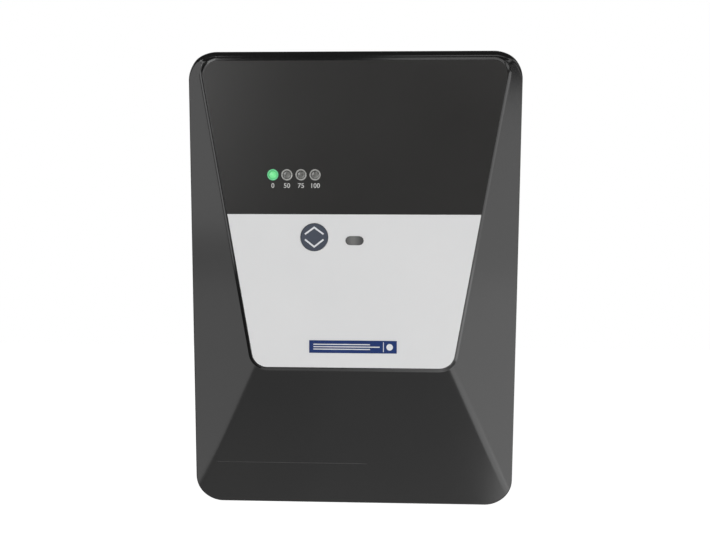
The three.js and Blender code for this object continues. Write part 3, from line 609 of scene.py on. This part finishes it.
def moulded(name, colour, roughness, grain=0.02, cell=1400, tint=0.12):
    """A moulded or painted surface: fine grain, slow mottling of colour, and uneven gloss."""
    spread = 0.06
    n = Nodes(name)
    slow = n.noise(28, 4)
    fine = n.noise(cell, 2)
    dust = n.noise(260, 5, 0.6)
    colour_a = tuple(c * (1 - tint) for c in colour)
    colour_b = tuple(c * (1 + tint) for c in colour)
    n.set(Base_Color=n.mix(n.range(slow, 0, 1), colour_a, colour_b))
    n.set(Roughness=n.range(dust, roughness - spread, roughness + spread))
    n.set(Normal=n.bump(fine, grain))
    return n.material


def brushed(name, colour, roughness, metal=1.0):
    """Plated or drawn metal with fine lines along X and small dull spots."""
    n = Nodes(name)
    lines = n.noise(420, 3, stretch=(0.04, 1, 1))
    spots = n.noise(90, 5, 0.7)
    dull = tuple(c * 0.82 for c in colour)
    n.set(Base_Color=n.mix(n.range(spots, 0, 1), dull, colour), Metallic=metal)
    n.set(Roughness=n.range(lines, roughness - 0.1, roughness + 0.12))
    n.set(Normal=n.bump(lines, 0.02))
    return n.material


def cover_plastic():
    """Glossy charcoal plastic with a very fine grain."""
    n = Nodes("cover_plastic")
    slow = n.noise(9, 3)
    dust = n.noise(320, 5, 0.65)
    grain = n.noise(2600, 2)
    n.set(Base_Color=n.mix(n.range(slow, 0, 1), (0.0082, 0.0082, 0.0084), (0.0108, 0.0106, 0.0104)))
    n.set(Roughness=n.range(dust, 0.13, 0.16), IOR=1.5)
    n.set(Normal=n.bump(grain, 0.001))
    return n.material


def display_film():
    """The smoked window: near black with a warm tint, and duller than the cover."""
    n = Nodes("display_film")
    slow = n.noise(14, 3)
    dust = n.noise(500, 4, 0.6)
    n.set(Base_Color=n.mix(n.range(slow, 0, 1), (0.0125, 0.0118, 0.011), (0.0155, 0.0148, 0.014)))
    n.set(Roughness=n.range(dust, 0.3, 0.38))
    n.set(Normal=n.bump(n.noise(1800, 2), 0.003))
    return n.material


def panel_film():
    """The pale keypad film, nearly even in colour."""
    n = Nodes("panel_film")
    slow = n.noise(22, 4)
    speck = n.noise(900, 3, 0.7)
    n.set(Base_Color=n.mix(n.range(slow, 0, 1), (0.69, 0.692, 0.695), (0.705, 0.706, 0.708)))
    n.set(Roughness=n.range(speck, 0.42, 0.52))
    n.set(Normal=n.bump(n.noise(1500, 2), 0.004))
    return n.material


def lit_lens():
    """A green lamp seen through its lens: brightest in the middle."""
    n = Nodes("lit_lens")
    low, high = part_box(f"led_lens_{LIT_LAMP}")
    middle = (low + high) / 2
    away = n.add("ShaderNodeVectorMath", operation="DISTANCE")
    flat = n.add("ShaderNodeVectorMath", operation="MULTIPLY")
    flat.inputs[1].default_value = (1, 0, 1)
    n.link(n.place, flat.inputs[0])
    n.link(flat.outputs["Vector"], away.inputs[0])
    away.inputs[1].default_value = (middle.x, 0, middle.z)
    glow = n.range(away.outputs["Value"], 1, 0, 0, (high.x - low.x) / 2)
    n.set(Base_Color=n.mix(n.noise(700, 3), (0.05, 0.3, 0.1), (0.08, 0.4, 0.14)), Roughness=0.12)
    n.set(Emission_Color=n.mix(glow, (0.05, 0.42, 0.13), (0.32, 1.0, 0.45)), Emission_Strength=0.57)
    return n.material


def ring_painted_lamp_light():
    """The ring of the lit lamp, with the lamp's green light painted in: a green colour and a faint glow of
    its own, though the ring is no lamp.
    """
    n = Nodes("ring_painted_lamp_light")
    mottle = n.range(n.noise(600, 3), 0, 1)
    # Painted light: the lamp's green light, given as the ring's colour and a faint glow.
    n.set(Base_Color=n.mix(mottle, (0.1, 0.34, 0.18), (0.14, 0.4, 0.22)), Roughness=0.35)
    n.set(Emission_Color=(0.12, 0.8, 0.3, 1), Emission_Strength=0.3)
    n.set(Normal=n.bump(n.noise(1400, 2), 0.006))
    return n.material


def smoky_lens():
    """The window of an unlit lamp: smoky, with the lamp's uneven grey behind it."""
    n = Nodes("smoky_lens")
    facets = n.noise(520, 2)
    n.set(Base_Color=n.mix(n.range(facets, 0, 1), (0.07, 0.07, 0.066), (0.165, 0.165, 0.156)))
    n.set(Roughness=0.16)
    n.set(Normal=n.bump(facets, 0.05), Coat_Weight=0.5, Coat_Roughness=0.08)
    return n.material


def status_lens():
    """The oval window: pale a little left of its middle, dark at the ends."""
    n = Nodes("status_lens")
    palest = middle_xz(STATUS_LOW, STATUS_HIGH)[0] - 1.2
    x = n.add("ShaderNodeSeparateXYZ")
    n.link(n.place, x.inputs[0])
    offset = n.add("ShaderNodeMath", operation="SUBTRACT")
    offset.inputs[1].default_value = palest * MM
    n.link(x.outputs["X"], offset.inputs[0])
    away = n.add("ShaderNodeMath", operation="ABSOLUTE")
    n.link(offset.outputs[0], away.inputs[0])
    fade = n.range(away.outputs[0], 0, 1, 1 * MM, 6 * MM)
    n.set(Base_Color=n.mix(fade, (0.17, 0.17, 0.165), (0.075, 0.075, 0.075)))
    n.set(Roughness=0.2, Normal=n.bump(n.noise(900, 2), 0.02))
    return n.material


# ------------------------------------------------------------------ the whole unit


def dress_outside():
    """Every piece that shows from outside, with its material."""
    black = moulded("housing_plastic", (0.016, 0.016, 0.0162), 0.42, grain=0.03)
    nylon = moulded("gland_nylon", (0.022, 0.022, 0.023), 0.45, grain=0.03, cell=900)
    pale = moulded("pale_print", (0.7, 0.71, 0.73), 0.45, grain=0.004)
    number = moulded("number_print", (0.5, 0.5, 0.49), 0.45, grain=0.004)
    steel = brushed("plated_steel", (0.52, 0.52, 0.52), 0.34)
    rubber = moulded("soft_rubber", (0.009, 0.009, 0.009), 0.75, grain=0.05, cell=700)
    ring = moulded("bezel_grey", (0.36, 0.36, 0.345), 0.35, grain=0.006)
    foam = moulded("seal_foam", (0.007, 0.007, 0.007), 0.9, grain=0.08, cell=500)
    navy = moulded("badge_navy", (0.003, 0.025, 0.135), 0.35, grain=0.003)
    zinc = brushed("zinc_plate", (0.45, 0.46, 0.47), 0.42)
    front_cover(cover_plastic())
    mould_line()
    refine("rear_housing", black, bevel=0)
    refine("display_window", display_film(), bevel=0.12)
    refine("keypad_panel", panel_film(), bevel=0.12)
    refine("name_badge", navy, bevel=0.08)
    refine("status_window", status_lens(), bevel=0.1)
    refine("cover_gasket", foam, bevel=0)
    badge_stripes(pale)
    smoky = smoky_lens()
    # The lit lamp's ring has the lamp's light painted on it.
    led_bezel(LIT_LAMP, ring_painted_lamp_light())
    led_lens(LIT_LAMP, lit_lens())
    for index in LAMP_NUMBERS:
        if index != LIT_LAMP:
            led_bezel(index, ring)
            led_lens(index, smoky)
    for index in range(1, 5):
        refine(f"cover_screw_{index}", steel, bevel=0.12)
    level_button(moulded("button_slate", (0.05, 0.06, 0.085), 0.42, grain=0.006))
    chevrons(pale)
    printed_numbers(number)
    refine("wall_bracket", zinc, "wall_bracket", bevel=0.3)
    for gland in ("mains", "sensor", "cell"):
        refine(f"{gland}_gland_body", nylon)
        refine(f"{gland}_gland_nut", nylon, bevel=0.35)
        refine(f"{gland}_gland_seal", rubber)
    switch = moulded("switch_black", (0.02, 0.02, 0.02), 0.45, grain=0.003, cell=900)
    refine("switch_body", switch, bevel=0.4)
    refine("switch_rocker", switch, "switch_rocker", bevel=0.4)
    refine("fuse_holder", nylon)
    refine("fuse_cap", nylon, "fuse_cap")


def dress_inside():
    """The pieces inside the dry room keep their CAD shape and get their own finishes."""
    finishes = {
        "board_laminate": moulded("board_laminate", (0.012, 0.1, 0.035), 0.35, cell=500, tint=0.3),
        "chip_resin": moulded("chip_resin", (0.012, 0.012, 0.013), 0.5, grain=0.03),
        "capacitor_sleeve": moulded("capacitor_sleeve", (0.01, 0.012, 0.035), 0.3, grain=0.01),
        "ribbon_vinyl": moulded("ribbon_vinyl", (0.3, 0.31, 0.33), 0.5, grain=0.03),
        "heat_sink_aluminium": brushed("heat_sink_aluminium", (0.5, 0.51, 0.52), 0.4),
        "relay_plastic": moulded("relay_plastic", (0.02, 0.09, 0.28), 0.4),
        "terminal_plastic": moulded("terminal_plastic", (0.02, 0.17, 0.06), 0.45),
        "copper_winding": brushed("copper_winding", (0.42, 0.13, 0.04), 0.35, metal=0.6),
        "soft_rubber": moulded("inner_rubber", (0.01, 0.01, 0.01), 0.8, grain=0.05, cell=700),
        "gland_nylon": moulded("locknut_nylon", (0.014, 0.014, 0.015), 0.45, grain=0.03, cell=900),
        "screw_steel": brushed("inner_steel", (0.52, 0.52, 0.52), 0.34),
        "led_resin": moulded("led_resin", (0.55, 0.58, 0.55), 0.15, grain=0.004),
        "fuse_glass": moulded("fuse_glass", (0.6, 0.63, 0.62), 0.08, grain=0.002),
    }
    slots = {part["node"]: part["material_slot"] for part in frame["record"]["subparts"]}
    for name, node in frame["nodes"].items():
        if not node.hide_render:
            node.data.materials.clear()
            node.data.materials.append(finishes[slots[name]])


# ------------------------------------------------------------------ studio


# Each lamp fills a patch of the sky: (azimuth, elevation) limits in degrees, and its radiance. Azimuth 0 is
# in front of the panel, and positive azimuths are on its right.
LAMPS = {
    "left_box": (-56, -30, -34, 26, 1.08),
    "left_top": (-56, -30, -2, 26, 0.7),
    "right_box": (32, 62, -46, 13, 2.04),
    "right_ridge": (19, 32, -46, -14, 2.3),
    "right_side": (62, 115, -30, 20, 1.5),
    "upper_right": (2, 37, 29, 42, 1.8),
    "high_right": (45, 78, 27, 42, 1.8),
    "under_right": (10, 70, -82, -62, 2.2),
    "low_front": (-7, 19, -50, -24, 0.06),
    "front_fill": (-18, 30, -6, 32, 0.22),
    "upper_left": (-36, -21, 10, 40, 4.2),
    "rear_right": (120, 160, 10, 50, 1.0),
    "rear_left": (-140, -92, -20, 35, 1.2),
}
LAMP_DISTANCE = 2.4  # metres
AIM = Vector((0, -0.1, 0))  # just behind the panel
GLOW = 0.07  # the dark studio round the lamps
FLOOR_GLOW = 0.4
FLOOR_DROP = 2300  # millimetres below the unit


def softbox(name, az_low, az_high, el_low, el_high, radiance):
    """An even soft light that fills a patch of the sky and shines at the unit."""
    azimuth, elevation = math.radians((az_low + az_high) / 2), math.radians((el_low + el_high) / 2)
    width = 2 * LAMP_DISTANCE * math.tan(math.radians(az_high - az_low) / 2) * math.cos(elevation)
    height = 2 * LAMP_DISTANCE * math.tan(math.radians(el_high - el_low) / 2)
    data = bpy.data.lights.new(name, "AREA")
    data.shape = "RECTANGLE"
    data.size, data.size_y = width, height
    data.energy = radiance * math.pi * width * height
    lamp = bpy.data.objects.new(name, data)
    level = math.cos(elevation)
    direction = Vector((math.sin(azimuth) * level, -math.cos(azimuth) * level, math.sin(elevation)))
    lamp.location = direction * LAMP_DISTANCE + AIM
    lamp.rotation_euler = direction.to_track_quat("Z", "Y").to_euler()
    lamp.visible_camera = False
    bpy.context.scene.collection.objects.link(lamp)


def studio():
    """The lamps, the floor, and a world that the camera sees as white and the unit sees as dim."""
    for name, values in LAMPS.items():
        softbox(name, *values)
    world = bpy.data.worlds.new("studio")
    bpy.context.scene.world = world
    world.use_nodes = True
    tree = world.node_tree
    shown = tree.nodes.new("ShaderNodeBackground")
    shown.inputs["Color"].default_value = (1, 1, 1, 1)
    glow = tree.nodes["Background"]
    glow.inputs["Color"].default_value = (1, 1, 1, 1)
    glow.inputs["Strength"].default_value = GLOW
    path = tree.nodes.new("ShaderNodeLightPath")
    mix = tree.nodes.new("ShaderNodeMixShader")
    tree.links.new(path.outputs["Is Camera Ray"], mix.inputs[0])
    tree.links.new(glow.outputs[0], mix.inputs[1])
    tree.links.new(shown.outputs[0], mix.inputs[2])
    tree.links.new(mix.outputs[0], tree.nodes["World Output"].inputs["Surface"])
    pale_floor()
    dark_card()
    bpy.context.scene.view_settings.view_transform = "Standard"


def dark_card():
    """A black card low on the left, out of the camera's sight. The left shoulder mirrors it as a line."""
    x, thick, reach, top = -1100, 5, 500, -150
    card = block("dark_card", x - thick, x, -reach, reach, -FLOOR_DROP, top)
    card.data.transform(Matrix.Scale(MM, 4))
    card.data.materials.append(moulded("card_black", (0.004, 0.004, 0.004), 0.9))
    card.visible_camera = False


def pale_floor():
    """A wide floor far below the unit, lit from within and whitest behind the unit."""
    size, thick = 15000, 5
    top = COVER_LOW.z - FLOOR_DROP
    floor = block("floor_plane", -size, size, -size, size, top - thick, top)
    floor.data.transform(Matrix.Scale(MM, 4))
    n = Nodes("pale_floor")
    mottle = n.range(n.noise(3, 3), 0, 1)
    n.set(Base_Color=n.mix(mottle, (0.8, 0.8, 0.8), (0.82, 0.82, 0.82)), Roughness=0.8)
    y = n.add("ShaderNodeSeparateXYZ")
    n.link(n.place, y.inputs[0])
    near, far = 0.2, 1.2  # metres behind the wall, where the glow starts to rise and where it is full
    n.set(Emission_Color=(1, 1, 1, 1), Emission_Strength=n.range(y.outputs["Y"], FLOOR_GLOW, 1, near, far))
    floor.data.materials.append(n.material)


def camera():
    """In front of the panel and a little above its middle, turned slightly left and down."""
    data = bpy.data.cameras.new("camera")
    data.sensor_width = 36
    data.lens = 30.4225
    data.clip_start = 0.02
    eye = bpy.data.objects.new("camera", data)
    eye.location = (0.0134, -0.5345, 0.0234)
    pitch, yaw, roll = 0.039, -0.029, 0.005
    turned = Matrix.Rotation(pitch, 3, "X") @ Matrix.Rotation(yaw, 3, "Z")
    right, ahead, up = Matrix.Rotation(roll, 3, "Y") @ turned
    eye.rotation_euler = Matrix((right, up, -ahead)).transposed().to_euler()
    bpy.context.scene.collection.objects.link(eye)
    bpy.context.scene.camera = eye


camera()
dress_outside()
dress_inside()
studio()
